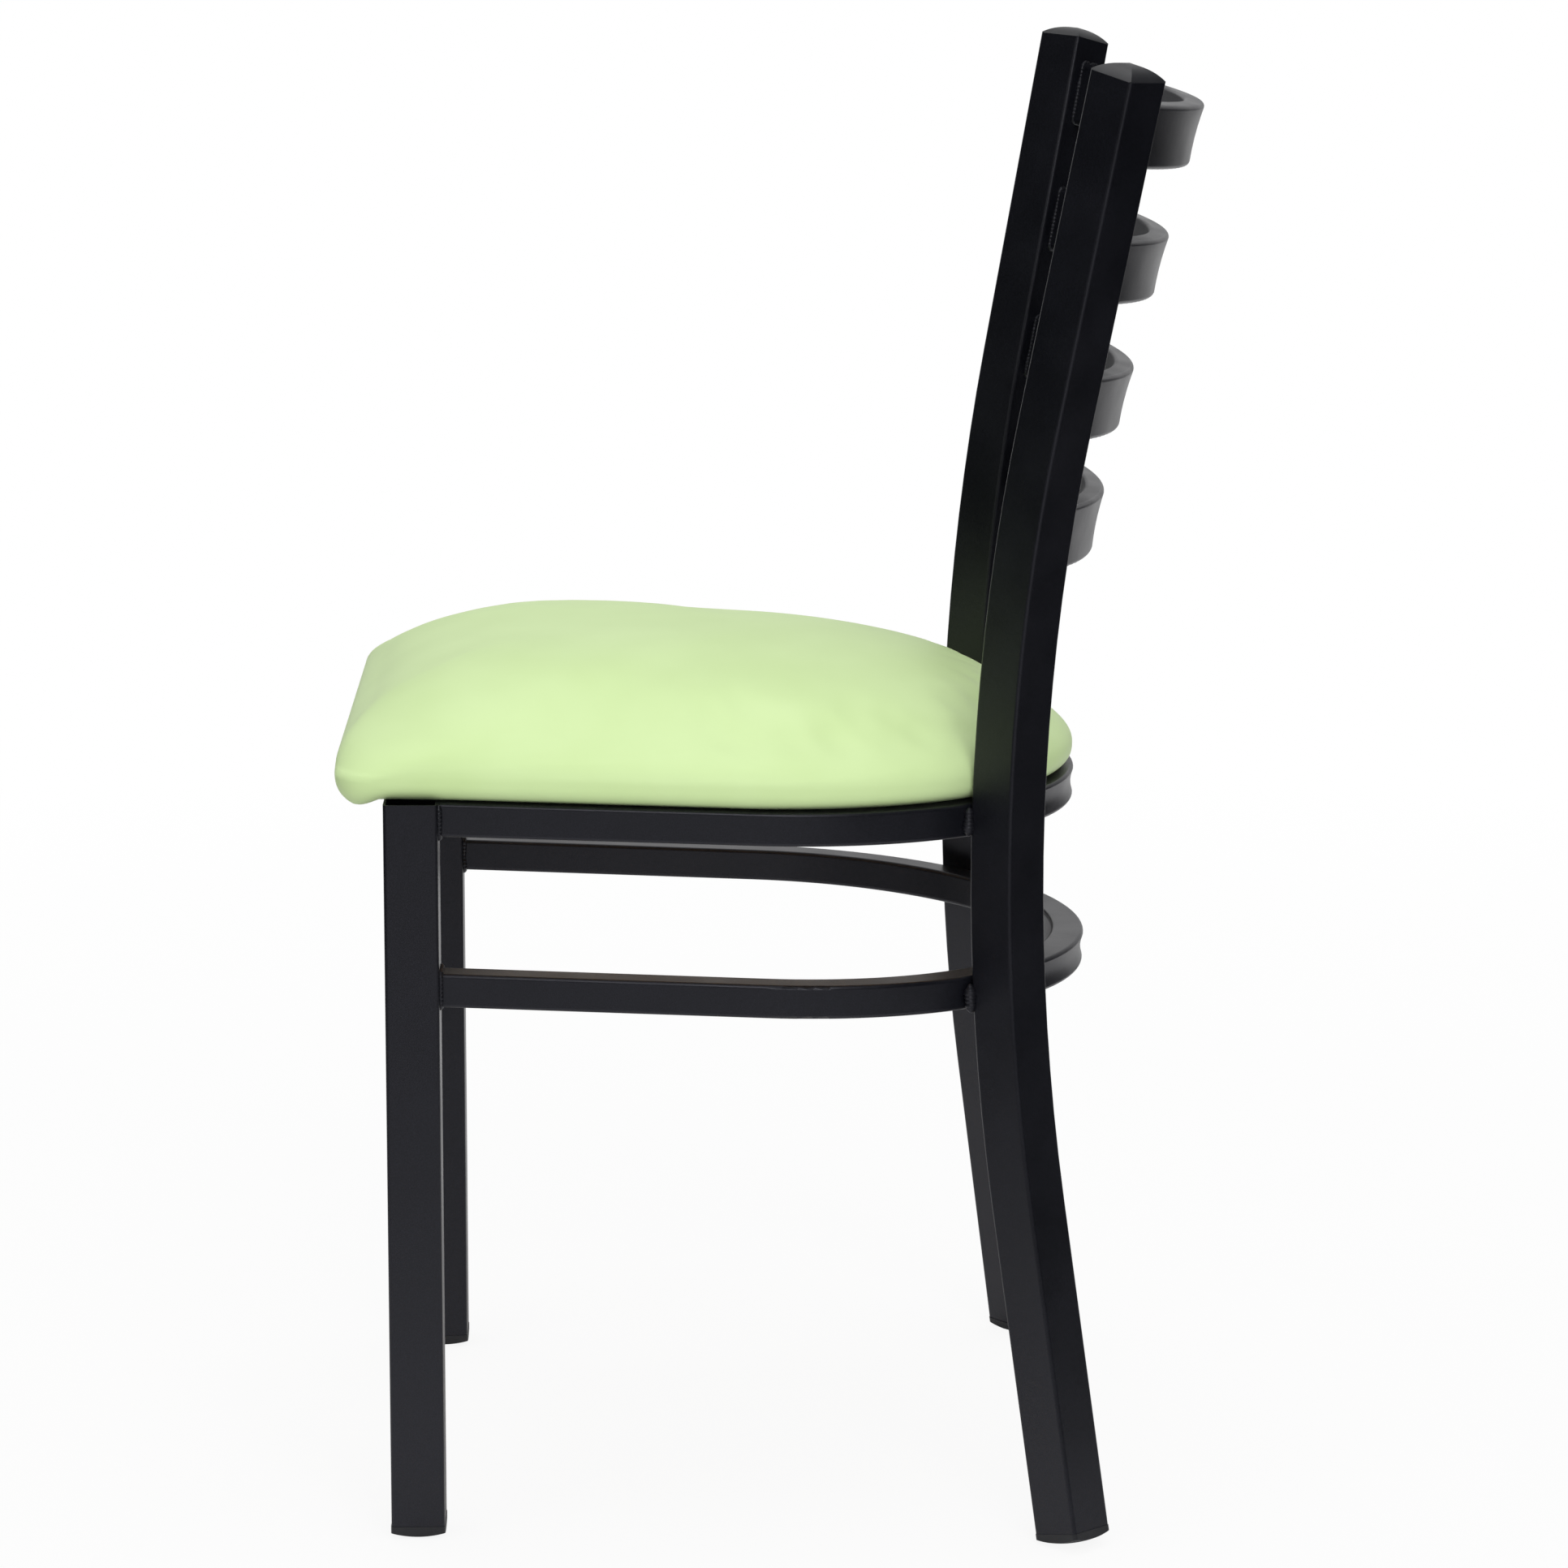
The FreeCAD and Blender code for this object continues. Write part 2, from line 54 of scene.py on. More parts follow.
def new_finish(name):
    """A material with only its Principled surface, ready for a piece's own nodes."""
    finish = bpy.data.materials.new(name)
    finish.use_nodes = True
    return finish, finish.node_tree, finish.node_tree.nodes["Principled BSDF"]


def node(tree, kind, inputs=None, **settings):
    """Adds a node, sets its properties, then sets or links its inputs, each by the name or
    number of its socket."""
    new = tree.nodes.new("ShaderNode" + kind)
    for key, value in settings.items():
        setattr(new, key, value)
    for key, value in (inputs or {}).items():
        socket = new.inputs[key]
        if isinstance(value, bpy.types.NodeSocket):
            tree.links.new(value, socket)
        else:
            socket.default_value = value
    return new


def ramp(tree, value, *stops):
    """Colour ramp on a value: stops are (position, hex colour), in rising order."""
    blend = node(tree, "ValToRGB", {"Fac": value})
    while len(blend.color_ramp.elements) < len(stops):
        blend.color_ramp.elements.new(1.0)
    for element, (position, colour) in zip(blend.color_ramp.elements, stops):
        element.position = position
        element.color = linear(colour)
    return blend.outputs["Color"]


def powder_coat(name, pebble_height, rough_low, rough_high):
    """Pebble of about 0.35 mm, drawn at 0.8 mm so that it shows, orange-peel waves of
    5 mm, and a slow drift in tone and gloss."""
    finish, tree, shader = new_finish(name)
    shader.inputs["IOR"].default_value = 1.5
    shader.inputs["Specular Tint"].default_value = linear("#f3f3ff")
    place = node(tree, "TexCoord").outputs["Object"]
    pebble = node(tree, "TexNoise", {
        "Vector": place, "Scale": 1 / 0.0008, "Detail": 2.0, "Roughness": 0.55,
    }).outputs["Fac"]
    peel = node(tree, "TexNoise", {"Vector": place, "Scale": 1 / 0.005, "Detail": 1.0}).outputs["Fac"]
    drift = node(tree, "TexNoise", {"Vector": place, "Scale": 1 / 0.04, "Detail": 2.0}).outputs["Fac"]
    specks = node(tree, "MapRange", {"Value": pebble, "From Min": 0.35, "From Max": 0.7})
    tone = node(tree, "Mix", {0: 0.5, 2: specks.outputs["Result"], 3: drift}, data_type="FLOAT")
    colour = ramp(tree, tone.outputs[0], (0.3, "#090a0f"), (0.75, "#13141b"))
    tree.links.new(colour, shader.inputs["Base Color"])
    gloss = node(tree, "MapRange", {
        "Value": drift, "From Min": 0.3, "From Max": 0.7, "To Min": rough_low, "To Max": rough_high,
    })
    tree.links.new(gloss.outputs["Result"], shader.inputs["Roughness"])
    waves = node(tree, "Bump", {"Height": peel, "Strength": 0.25, "Distance": 0.00015})
    bump = node(tree, "Bump", {
        "Height": pebble, "Strength": 0.5, "Distance": pebble_height, "Normal": waves.outputs["Normal"],
    })
    tree.links.new(bump.outputs["Normal"], shader.inputs["Normal"])
    return finish


def finish_nodes(finish, *names):
    """Gives a material to frame nodes whose shape is already right."""
    for name in names:
        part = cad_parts[name]
        part.data.materials.clear()
        part.data.materials.append(finish)


black_frame = powder_coat("satin black powder coat", 0.00012, 0.34, 0.4)
tubes = [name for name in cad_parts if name.startswith(
    ("back_post", "front_leg", "seat_hoop", "stretcher", "front_rail", "back_slat", "seat_tab")
)]
finish_nodes(black_frame, *tubes)

# Weld seams: short MIG beads, laid by hand in the corners where tubes meet, then coated
# with the frame. The powder runs thicker and rougher over their ripples.

LEG_FACE = -230.247        # front face of the front legs, from the middle of the chair
TUBE = 31.75               # posts and front legs
RAIL = 20.0                # hoops and front rail
RAIL_CORNER = 2.2
LEG_X = 191.5              # middle of a front leg
SEAT_TOP, SEAT_SLOPE = 446.0, math.tan(math.radians(1.9))
STRETCHER_TOP, STRETCHER_SLOPE = 344.2, math.tan(math.radians(2.2))
RIPPLE = 2.4               # from one ripple of a bead to the next
LUMP = 4.5                 # from one lump of a bead to the next
END_BEAD = 2.1             # radius, round the end of a hoop or of the front rail
POST_BEAD = 3.5            # upright, between a hoop and a post
SLAT_BEAD = 1.7            # round the end of a slat


def swept(points, radii, flat_axis, flatness=1.0, sides=10):
    """Round bar along a line of points: each ring is the point plus its radius times
    cos a across the line and its radius times sin a, flattened, along flat_axis."""
    points = np.asarray(points, float)
    along = np.gradient(points, axis=0)
    along /= np.linalg.norm(along, axis=1, keepdims=True)
    lift = np.broadcast_to(np.asarray(flat_axis, float), points.shape)
    across = np.cross(along, lift)
    across /= np.linalg.norm(across, axis=1, keepdims=True)
    lift = np.cross(across, along)
    turn = np.linspace(0, 2 * math.pi, sides, endpoint=False)[None, :, None]
    size = np.asarray(radii, float)[:, None, None]
    ring = np.cos(turn) * across[:, None] + flatness * np.sin(turn) * lift[:, None]
    return points[:, None] + size * ring


def grid_mesh(name, grids):
    """Mesh of one or more grids of points (rows, columns, 3) in mm, from the front face of
    the front legs. Each cell is a face, the columns close round, and the first and last
    row are closed by one face each."""
    corners, faces, offset = [], [], 0
    for points in grids:
        rows, columns = points.shape[:2]
        index = np.arange(rows * columns).reshape(rows, columns) + offset
        after = np.roll(index, -1, axis=1)
        cells = np.stack([index[:-1], after[:-1], after[1:], index[1:]], -1).reshape(-1, 4)
        faces += cells.tolist() + [index[0][::-1].tolist(), index[-1].tolist()]
        corners.append(points.reshape(-1, 3))
        offset += rows * columns
    places = (np.concatenate(corners) + (0, LEG_FACE, 0)) * MM
    mesh = bpy.data.meshes.new(name)
    mesh.from_pydata(places.tolist(), [], faces)
    mesh.update()
    mesh.polygons.foreach_set("use_smooth", [True] * len(mesh.polygons))
    piece = bpy.data.objects.new(name, mesh)
    bpy.context.scene.collection.objects.link(piece)
    return piece


def bead(path, radius, flat_axis, seed):
    """Weld bead along a path: laid again every half millimetre, its radius swells once a
    ripple by a fifth, wanders by a quarter from lump to lump, and falls away at both ends
    as the root of the distance from the end."""
    path = np.asarray(path, float)
    run = np.concatenate([[0], np.cumsum(np.linalg.norm(np.diff(path, axis=0), axis=1))])
    steps = np.linspace(0, run[-1], max(int(run[-1] / 0.5), 8))
    points = np.stack([np.interp(steps, run, path[:, i]) for i in range(3)], -1)
    chance = np.random.default_rng(seed)
    lumps = max(int(run[-1] / LUMP), 4)
    wander = np.interp(steps, np.linspace(0, run[-1], lumps), chance.uniform(-0.25, 0.25, lumps))
    ripple = 0.2 * np.abs(np.sin(math.pi * steps / RIPPLE + chance.uniform(0, 3)))
    ends = np.clip(np.minimum(steps, run[-1] - steps) / (1.2 * radius), 0.004, 1) ** 0.5
    return swept(points, radius * (0.9 + wander + ripple) * ends, flat_axis, 0.85)


def ring_path(width, depth, corner, open_top=False):
    """Flat points round a rounded rectangle, counter-clockwise from the middle of its top
    side: the centre of each corner plus its radius times (cos a, sin a), every 6 degrees.
    open_top leaves out the top side and 30 degrees of each corner beside it."""
    half = np.array([width / 2 - corner, depth / 2 - corner])
    turn = np.radians(np.arange(90, 451, 6.0))
    arcs = np.stack([np.cos(turn), np.sin(turn)], -1) * corner
    centre = np.where(arcs > 1e-6, 1, np.where(arcs < -1e-6, -1, 0)) * half
    loop = arcs + centre
    loop[[0, -1]] = (0, depth / 2)
    return loop[5:-5] if open_top else loop


def end_seam(centre, across, up, open_top, seed):
    """Bead round a rail's end: the rail's outline, laid along the directions across and up.
    open_top leaves out the side that must stay flush for the seat."""
    loop = ring_path(RAIL, RAIL, RAIL_CORNER, open_top)
    path = np.asarray(centre) + loop[:, :1] * np.asarray(across) + loop[:, 1:] * np.asarray(up)
    return bead(path, END_BEAD, np.cross(across, up), seed)


BEND_MIDDLE = (156.4, 366.4, 431.2)      # of the left post, halfway round its bend
BEND_RADIUS = 1056.0
FOOT_SPLAY, BACK_RAKE, POST_LEAN = 10.72, 14.72, 3.35      # degrees


def post_line(height, side):
    """Centre of a back post at a height, with its directions: along it, to its outer rear
    face (x) and to its inner rear face (y). Round the bend it runs x = R (1 - cos a) and
    z = R sin a, from the foot's splay to the back's rake, and beyond it straight on."""
    pose = (
        Matrix.Translation(BEND_MIDDLE)
        @ Matrix.Rotation(math.radians(-POST_LEAN), 4, "Y")
        @ Matrix.Rotation(math.radians(45), 4, "Z")
        @ Matrix.Rotation(math.radians((BACK_RAKE - FOOT_SPLAY) / 2), 4, "Y")
    )
    bend = math.radians((BACK_RAKE + FOOT_SPLAY) / 2)
    angle = np.linspace(-bend, bend, 400)
    flat = np.array(pose.to_3x3())
    x, z = BEND_RADIUS * (1 - np.cos(angle)), BEND_RADIUS * np.sin(angle)
    arc = np.array(pose.translation) + np.outer(x, flat[:, 0]) + np.outer(z, flat[:, 2])
    turned = np.clip(np.interp(height, arc[:, 2], angle), -bend, bend)
    along = flat[:, 0] * math.sin(turned) + flat[:, 2] * math.cos(turned)
    outer = flat[:, 0] * math.cos(turned) - flat[:, 2] * math.sin(turned)
    point = np.array([np.interp(height, arc[:, 2], arc[:, i]) for i in range(3)])
    point = point + along * (height - point[2]) / along[2]
    mirror = np.array([side, 1, 1])
    return point * mirror, along * mirror, outer * mirror, flat[:, 1] * mirror


SLAT_DROPS = (32.2, 111.3, 191.8, 269.8)    # of the slats' middles, below the posts' tops
POST_TOP = 865.0
SLAT_DEPTH, SLAT_HEIGHT, SLAT_CORNER = 12.7, 38.1, 2.6
SLAT_BOW = 357.0           # radius of its centre line
SLAT_LEAN = math.radians(3.7)


def slat_end(height, side):
    """Line where a slat's outline meets a post's inner rear face. A point of the outline,
    u out from the bow's centre line and w up, goes round the bow by the angle t that
    solves a sin t + b cos t = k, the plane of the face."""
    axis, along, _, face = post_line(height, 1)
    rake = math.atan2(along[1], along[2])
    inner_corner = TUBE / 2 * math.sqrt(0.5)
    end_x = axis[0] - inner_corner
    apex = inner_corner + SLAT_BOW - math.sqrt(SLAT_BOW ** 2 - end_x ** 2)
    loop = ring_path(SLAT_DEPTH, SLAT_HEIGHT, SLAT_CORNER)
    u = loop[:, 0] * math.cos(SLAT_LEAN) + loop[:, 1] * math.sin(SLAT_LEAN)
    w = loop[:, 1] * math.cos(SLAT_LEAN) - loop[:, 0] * math.sin(SLAT_LEAN)
    back = np.array([0, math.cos(rake), -math.sin(rake)])
    up = np.array([0, math.sin(rake), math.cos(rake)])
    still = np.array([0, axis[1], height]) + back * (apex - SLAT_BOW) + np.outer(w, up)
    reach = SLAT_BOW + u
    a, b = face[0], back @ face
    k = (TUBE / 2 - (still - np.array(BEND_MIDDLE)) @ face) / reach
    turned = math.pi - np.arcsin(np.clip(k / math.hypot(a, b), -1, 1)) - math.atan2(b, a)
    swing = np.sin(turned)[:, None] * np.array([1, 0, 0]) + np.cos(turned)[:, None] * back
    mirror = np.array([side, 1, 1])
    return (still + reach[:, None] * swing) * mirror, face * mirror


seams = []
for side in (1, -1):
    for top, slope, open_top in ((SEAT_TOP, SEAT_SLOPE, True), (STRETCHER_TOP, STRETCHER_SLOPE, False)):
        centre = (side * LEG_X, TUBE + 0.4, top - RAIL / 2)
        seams.append(end_seam(centre, (1, 0, 0), (0, 0, 1), open_top, len(seams)))
        fall = (post_line(top - RAIL / 2, 1)[0][1] - TUBE) * slope
        for edge in (-1, 1):
            path = []
            for height in top - fall - np.array([RAIL - 1.2, RAIL / 2, 1.6]):
                axis, _, outer, face = post_line(height, side)
                path.append(axis - outer * (TUBE / 2 + 0.3) + edge * face * (TUBE / 2 + 0.6))
            seams.append(bead(path, POST_BEAD, outer, len(seams)))
    rail_top = SEAT_TOP + (TUBE / 2 - RAIL / 2) * SEAT_SLOPE
    centre = (side * (LEG_X - TUBE / 2 - 0.4), TUBE / 2, rail_top - RAIL / 2)
    seams.append(end_seam(centre, (0, 1, 0), (0, 0, 1), True, len(seams)))
    for drop in SLAT_DROPS:
        line, face = slat_end(POST_TOP - drop, side)
        seams.append(bead(line, SLAT_BEAD, face, len(seams)))

weld_seams = grid_mesh("weld_seams", seams)
weld_seams.data.materials.append(powder_coat("powder coat over weld ripples", 0.0002, 0.42, 0.52))
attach(weld_seams, "root")

# Post caps and glides: injection-moulded polyethylene, pushed into the tube ends. The
# mould leaves a softer, more even satin than the powder on the steel.


def moulded_black():
    """Spark-eroded grain of 0.6 mm in gloss and height, and scuffs of 12 mm in tone."""
    finish, tree, shader = new_finish("moulded black polyethylene")
    shader.inputs["IOR"].default_value = 1.5
    place = node(tree, "TexCoord").outputs["Object"]
    grain = node(tree, "TexNoise", {"Vector": place, "Scale": 1 / 0.0006, "Detail": 3.0}).outputs["Fac"]
    scuffs = node(tree, "TexNoise", {"Vector": place, "Scale": 1 / 0.012, "Detail": 4.0}).outputs["Fac"]
    tree.links.new(ramp(tree, scuffs, (0.35, "#121318"), (0.7, "#1c1d22")), shader.inputs["Base Color"])
    gloss = node(tree, "MapRange", {"Value": grain, "To Min": 0.34, "To Max": 0.46})
    bump = node(tree, "Bump", {"Height": grain, "Strength": 0.2, "Distance": 0.00005})
    tree.links.new(gloss.outputs["Result"], shader.inputs["Roughness"])
    tree.links.new(bump.outputs["Normal"], shader.inputs["Normal"])
    return finish


finish_nodes(moulded_black(), *[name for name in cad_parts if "cap" in name or "glide" in name])

# Seat board: raw birch plywood under the foam, seen only from below, inside the ring of
# turned-in vinyl. It is screwed to four tabs of the frame.


def plywood():
    """Long grain along X from a stretched noise, with darker pores and a few pale flecks."""
    finish, tree, shader = new_finish("raw birch plywood")
    shader.inputs["Roughness"].default_value = 0.7
    place = node(tree, "TexCoord").outputs["Object"]
    along = node(tree, "Mapping", {"Vector": place, "Scale": (4.0, 60.0, 60.0)}).outputs["Vector"]
    grain = node(tree, "TexNoise", {
        "Vector": along, "Scale": 1.6, "Detail": 6.0, "Distortion": 0.6,
    }).outputs["Fac"]
    fibre = node(tree, "Mapping", {"Vector": place, "Scale": (30.0, 900.0, 900.0)}).outputs["Vector"]
    pores = node(tree, "TexNoise", {"Vector": fibre, "Scale": 1.0, "Detail": 3.0}).outputs["Fac"]
    tone = node(tree, "Mix", {0: 0.35, 2: grain, 3: pores}, data_type="FLOAT").outputs[0]
    colour = ramp(tree, tone, (0.32, "#9c7148"), (0.5, "#c39a68"), (0.68, "#d6b384"))
    bump = node(tree, "Bump", {"Height": pores, "Strength": 0.3, "Distance": 0.0003})
    tree.links.new(colour, shader.inputs["Base Color"])
    tree.links.new(bump.outputs["Normal"], shader.inputs["Normal"])
    return finish


finish_nodes(plywood(), "seat_board")

# Screws, washers and tee nuts: steel pressed or headed cold, then plated with bright zinc.
# The plating has a cloudy blush. The screws go up through the tabs into the board.


def zinc(name, low, high):
    """Clouds of 2 mm in tone, and in gloss between the two roughnesses given."""
    finish, tree, shader = new_finish(name)
    shader.inputs["Metallic"].default_value = 1.0
    place = node(tree, "TexCoord").outputs["Object"]
    cloud = node(tree, "TexNoise", {"Vector": place, "Scale": 1 / 0.002, "Detail": 3.0}).outputs["Fac"]
    tree.links.new(ramp(tree, cloud, (0.3, "#b9bec4"), (0.7, "#d3d4d2")), shader.inputs["Base Color"])
    gloss = node(tree, "MapRange", {"Value": cloud, "To Min": low, "To Max": high})
    tree.links.new(gloss.outputs["Result"], shader.inputs["Roughness"])
    return finish


finish_nodes(zinc("zinc-plated steel", 0.25, 0.45), "seat_screws", "seat_washers", "tee_nuts")

# Seat pad: polyurethane foam over the board, pulled tight in pale green upholstery
# vinyl that is turned in below and stapled. The vinyl is smooth, with a fine leather
# grain pressed into it, and it stands as a flat dome from a rolled lower edge.

PAD_PLANE = SEAT_TOP + 0.3                  # its underside, at the legs' rear face
PAD_HALF = LEG_X + TUBE / 2 - 2.9           # half its width
PAD_FRONT = -29.0                           # its front edge, ahead of the legs' front face
PAD_CORNER = 22.0                           # radius of its front corners in plan
PAD_ROUND = 215.15                          # centre of its round back, behind that face
PAD_REAR = LEG_X + RAIL / 2 + 0.1 - 1.2     # radius of that back
ROLL_RISE, ROLL_INSET = 13.0, 11.0          # from its bottom up and out to its widest line
HANG = 4.6                                  # of its lower edge ahead of the legs
CROWN, CROWN_FALL = 77.0, 6.0               # from its bottom to its top, and lower at the rear
DOME_MIDDLE = 230.0                         # the point that the dome closes in on


def pad_outline(turns, inset, rounder=0.0):
    """Plan of the pad, moved in by inset, from the front middle (0) round by the left (+)
    or right (-) side to the rear middle (1): half the straight front, a corner arc, a
    straight side, an eighth of a wide arc and an eighth of the round back. Each stretch
    keeps its share of the turn at every inset. rounder adds to the corner's radius."""
    half, back, front = PAD_HALF - inset, PAD_REAR - inset, PAD_FRONT + inset
    corner = np.maximum(PAD_CORNER - inset, 1.0) + rounder
    diagonal = math.sqrt(0.5)
    wide = (half - back * diagonal) / (1 - diagonal)
    side_end = PAD_ROUND + (back - wide) * diagonal
    shares = np.cumsum([0, 182.5, 34.6, 212, 168, 157.4])
    s = np.abs(turns) * shares[-1]
    part = [np.clip((s - low) / (high - low), 0, 1) for low, high in zip(shares, shares[1:])]
    quarter, eighth, last = part[1] * math.pi / 2, part[3] * math.pi / 4, (1 + part[4]) * math.pi / 4
    x = (half - corner) * part[0] + corner * np.sin(quarter)
    x = np.where(s > shares[3], half - wide * (1 - np.cos(eighth)), x)
    x = np.where(s > shares[4], back * np.cos(last), x)
    y = front + corner * (1 - np.cos(quarter)) + (side_end - front - corner) * part[2]
    y = np.where(s > shares[3], side_end + wide * np.sin(eighth), y)
    y = np.where(s > shares[4], PAD_ROUND + back * np.sin(last), y)
    return x * np.sign(turns), y


def dome_points(turns, share, shrink=0.0):
    """Dome above the roll: at share r of the way out from the middle it stands at the root
    of 1 - r^p of the crown, with p a little over 2, more at the front and less at the rear,
    and the crown falls to the rear and swells over the front edge. The front corners grow
    rounder with the crown. shrink draws the whole dome in."""
    _, plain_y = pad_outline(turns, shrink)
    ahead = np.clip((PAD_ROUND - plain_y) / 245, 0, 1) ** 6
    behind = np.clip((plain_y - PAD_ROUND) / 200, 0, 1) ** 2
    power = 2.06 + 0.65 * ahead - 0.12 * behind
    r = np.cos(share * math.pi / 2)
    crown = np.sqrt(np.maximum(1 - r ** power, 0))
    x, y = pad_outline(turns, shrink, 85 * crown ** 0.6)
    fuller = 2.5 * ahead * np.sin(math.pi * np.clip(2 * share, 0, 1))
    dome_y = DOME_MIDDLE + (y - DOME_MIDDLE) * r - fuller
    rise = ROLL_RISE + (CROWN - ROLL_RISE - shrink) * crown
    rise = rise - CROWN_FALL * crown * (dome_y - PAD_ROUND) / PAD_REAR
    rise = rise - 2 * crown * (1 - 1.2 * np.exp(-((dome_y - 20) / 50) ** 2))
    return np.stack([x * r, dome_y, rise], -1)


def hang_below(y):
    """How far the lower edge hangs below the seat plane: nothing up to 3 mm ahead of the
    legs' front face, all of HANG from 17 mm ahead, and between them by a power of 0.8."""
    return HANG * np.clip((-3.0 - y) / 14.0, 0, 1) ** 0.8


def roll_points(turns, share, shrink=0.0):
    """Rolled lower edge, from the inset bottom (0) to the widest line (1): an ellipse made
    squarer by the 0.75 power of its sine and cosine, its underside lifting off the frame.
    Ahead of the legs, where nothing carries it, it hangs lower, and the vinyl puckers round
    the front corners in folds that fade out upwards."""
    angle = np.clip(share, 0, 1) * math.pi / 2
    _, plain_y = pad_outline(turns, 0)
    tuck = ROLL_INSET + 4.0 * np.clip(plain_y / 40, 0, 1)
    x, y = pad_outline(turns, shrink + tuck * (1 - np.sin(angle) ** 0.75))
    rise = ROLL_RISE * (1 - np.cos(angle) ** 0.75 * (1 - 0.13 * np.sin(angle)))
    fade = 1 - share
    past_corner = np.abs(turns) - 0.262
    folds = 0.8 * np.cos(past_corner * 520) * np.exp(-(past_corner / 0.035) ** 2) * (y < -2)
    rise = rise - hang_below(y) * fade ** 1.5 - np.abs(folds) * fade ** 2
    return np.stack([x, y, rise], -1)


def on_seat_plane(points):
    """Lays points drawn flat on the sloping plane of the seat."""
    laid = points.copy()
    laid[..., 2] += PAD_PLANE - (laid[..., 1] - TUBE) * SEAT_SLOPE
    return laid


def rises(places):
    """Heights in mm above the seat plane of a mesh's corners, given in metres."""
    return places[:, 2] / MM - PAD_PLANE + (places[:, 1] / MM - LEG_FACE - TUBE) * SEAT_SLOPE


def corners_of(mesh):
    """Places of a mesh's corners in metres, one row each."""
    places = np.empty(len(mesh.vertices) * 3, np.float32)
    mesh.vertices.foreach_get("co", places)
    return places.reshape(-1, 3)


def pad_turns(columns):
    """Equal steps round the outline from the rear middle back to it, a hair past the front
    middle, where the sides change."""
    return (np.linspace(-1, 1, columns, endpoint=False) + 1e-9)[None]


def pad_skin(columns=300, roll_rows=14, dome_rows=64):
    """Closed skin of the cushion: the roof of the board's recess, its wall, the turned-in
    hem of 15 mm with its uneven cut edge, the roll and the dome."""
    turns = pad_turns(columns)
    hem_edge = 27 + 0.5 * np.sin(turns * 37) + 0.4 * np.sin(turns * 91 + 1)
    rings = []
    for inset, rise in ((11.7, 13.3), (11.7, 0.97), (hem_edge, 0.97), (hem_edge, 0.0)):
        x, y = pad_outline(turns, inset)
        rings.append(np.stack([x, y, np.full_like(x, rise)], -1))
    roll = roll_points(turns, np.linspace(0, 1, roll_rows)[:-1, None])
    dome = dome_points(turns, np.linspace(0, 0.985, dome_rows)[:, None])
    rings += [rings[3] * (1 - blend) + roll[:1] * blend for blend in (0.5, 0.97)]
    return on_seat_plane(np.concatenate(rings + [roll, dome]))


def blown_form():
    """The foam and vinyl as a plain closed bag, drawn 3.5 mm in from the seat's dome,
    remeshed and filled by air pressure with its bottom held, so that it takes the fullness
    of a stuffed cover. No point may move over 5 mm."""
    turns = pad_turns(220)
    roll = roll_points(turns, np.linspace(0, 1, 6)[:-1, None], 1.5)
    dome = dome_points(turns, np.linspace(0, 0.97, 36)[:, None], 3.5)
    bag = grid_mesh("pad_bag", [on_seat_plane(np.concatenate([roll, dome]))])
    bpy.context.view_layer.objects.active = bag
    remesh = bag.modifiers.new("even", "REMESH")
    remesh.mode = "VOXEL"
    remesh.voxel_size = 0.006
    bpy.ops.object.modifier_apply(modifier=remesh.name)
    start = corners_of(bag.data)
    held = bag.vertex_groups.new(name="held")
    held.add(np.flatnonzero(rises(start) < 5).tolist(), 1.0, "REPLACE")
    cloth = bag.modifiers.new("filled", "CLOTH")
    cloth.settings.quality = 6
    cloth.settings.mass = 0.4
    cloth.settings.tension_stiffness = 25
    cloth.settings.compression_stiffness = 25
    cloth.settings.bending_stiffness = 2
    cloth.settings.use_pressure = True
    cloth.settings.uniform_pressure_force = 4
    cloth.settings.vertex_group_mass = "held"
    cloth.settings.effector_weights.gravity = 0
    for number in range(1, 21):
        bpy.context.scene.frame_set(number)
    moved = corners_of(bag.evaluated_get(bpy.context.evaluated_depsgraph_get()).to_mesh()) - start
    painted_front_shade = np.linalg.norm(moved, axis=1, keepdims=True)
    capped = start + moved * np.minimum(1, 0.005 / np.maximum(painted_front_shade, 1e-9))
    bag.modifiers.clear()
    bag.data.vertices.foreach_set("co", capped.ravel())
    bag.data.update()
    bpy.context.scene.frame_set(1)
    return bag


def upholstery_vinyl():
    """Leather grain: cells of 1.1 mm with rounded tops, finer wrinkles between them, and a
    slow drift in tone and gloss where the cover is stretched."""
    finish, tree, shader = new_finish("pale green upholstery vinyl")
    shader.inputs["IOR"].default_value = 1.48
    shader.inputs["Specular IOR Level"].default_value = 0.35
    shader.inputs["Sheen Weight"].default_value = 0.05
    place = node(tree, "TexCoord").outputs["Object"]
    cells = node(tree, "TexVoronoi", {
        "Vector": place, "Scale": 1 / 0.0011, "Randomness": 0.9,
    }, feature="SMOOTH_F1").outputs["Distance"]
    wrinkle = node(tree, "TexNoise", {"Vector": place, "Scale": 1 / 0.0007, "Detail": 3.0}).outputs["Fac"]
    drift = node(tree, "TexNoise", {"Vector": place, "Scale": 1 / 0.07, "Detail": 2.0}).outputs["Fac"]
    colour = ramp(tree, drift, (0.3, "#cce5a4"), (0.7, "#d2eaac"))
    tree.links.new(colour, shader.inputs["Base Color"])
    gloss = node(tree, "MapRange", {"Value": drift, "To Min": 0.46, "To Max": 0.56})
    tree.links.new(gloss.outputs["Result"], shader.inputs["Roughness"])
    fine = node(tree, "Bump", {"Height": wrinkle, "Strength": 0.12, "Distance": 0.00008})
    bump = node(tree, "Bump", {
        "Height": cells, "Strength": 0.18, "Distance": 0.00012, "Normal": fine.outputs["Normal"],
    }, invert=True)
    tree.links.new(bump.outputs["Normal"], shader.inputs["Normal"])
    return finish


